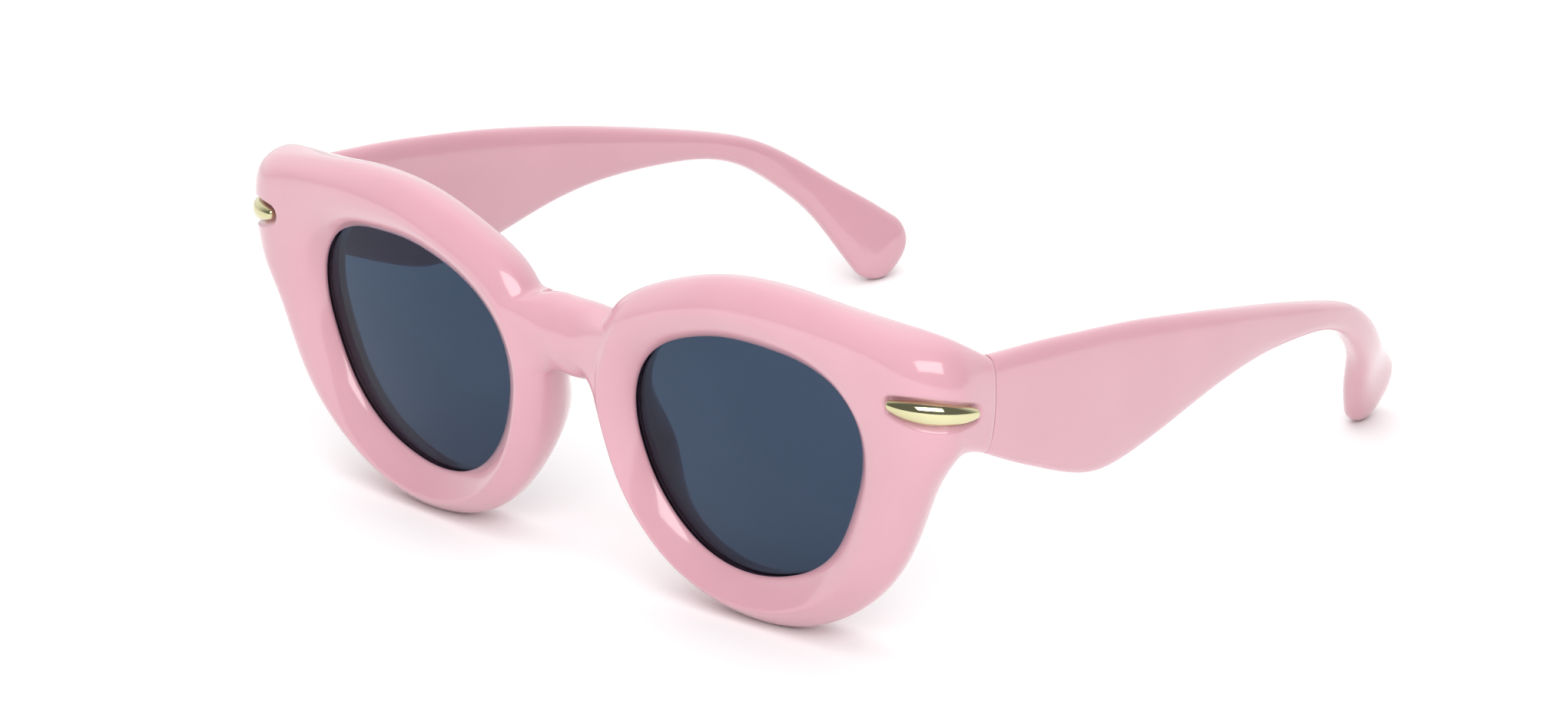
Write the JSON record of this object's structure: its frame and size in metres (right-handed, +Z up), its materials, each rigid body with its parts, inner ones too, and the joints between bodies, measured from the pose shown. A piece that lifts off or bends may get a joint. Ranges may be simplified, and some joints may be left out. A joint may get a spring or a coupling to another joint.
{
  "type": "cat eye sunglasses",
  "caption": "Thick puffy cat eye sunglasses with tinted lenses, almond metal accents and wide temples that fold inwards on small barrel hinges.",
  "frame": {"origin": "bottom centre of the whole object's box, on the surface that the rims and temple tips rest on, with the temples open", "axes": "+X to the wearer's left along the front, +Y backwards from the front towards the temple tips, +Z up"},
  "size_m": [0.1524, 0.1373, 0.0561],
  "materials": {
    "front_plastic": "polished baby pink, opaque",
    "temple_plastic": "polished baby pink, opaque",
    "pad_plastic": "polished baby pink, opaque",
    "lens_tint": "polished blue-grey tint, partly transparent",
    "gold_trim": "mirror-polished pale gold plating",
    "hinge_steel": "bright nickel-plated",
    "core_steel": "drawn wire"
  },
  "bodies": {
    "front": {"accent_left": "gold_trim", "accent_right": "gold_trim", "front_frame": "front_plastic", "front_hinge_leaf_left": "hinge_steel", "front_hinge_leaf_right": "hinge_steel", "front_leaf_screw_lower_left": "hinge_steel", "front_leaf_screw_lower_right": "hinge_steel", "front_leaf_screw_upper_left": "hinge_steel", "front_leaf_screw_upper_right": "hinge_steel", "hinge_screw_left": "hinge_steel", "hinge_screw_right": "hinge_steel", "lens_left": "lens_tint", "lens_right": "lens_tint", "nose_pad_left": "pad_plastic", "nose_pad_right": "pad_plastic"},
    "left_temple": {"temple_core_wire_left": "core_steel", "temple_hinge_leaf_left": "hinge_steel", "temple_leaf_screw_aft_left": "hinge_steel", "temple_leaf_screw_fore_left": "hinge_steel", "temple_left": "temple_plastic"},
    "right_temple": {"temple_core_wire_right": "core_steel", "temple_hinge_leaf_right": "hinge_steel", "temple_leaf_screw_aft_right": "hinge_steel", "temple_leaf_screw_fore_right": "hinge_steel", "temple_right": "temple_plastic"}
  },
  "joints": [
    {"name": "left_hinge", "type": "hinge", "parent": "front", "child": "left_temple", "pos_m": [0.0687, -0.05098, 0.04139], "axis": [0, -0.0619, 0.9981], "range_deg": [0, 85]},
    {"name": "right_hinge", "type": "hinge", "parent": "front", "child": "right_temple", "pos_m": [-0.0687, -0.05098, 0.04139], "axis": [0, 0.0619, -0.9981], "range_deg": [0, 77]}
  ]
}
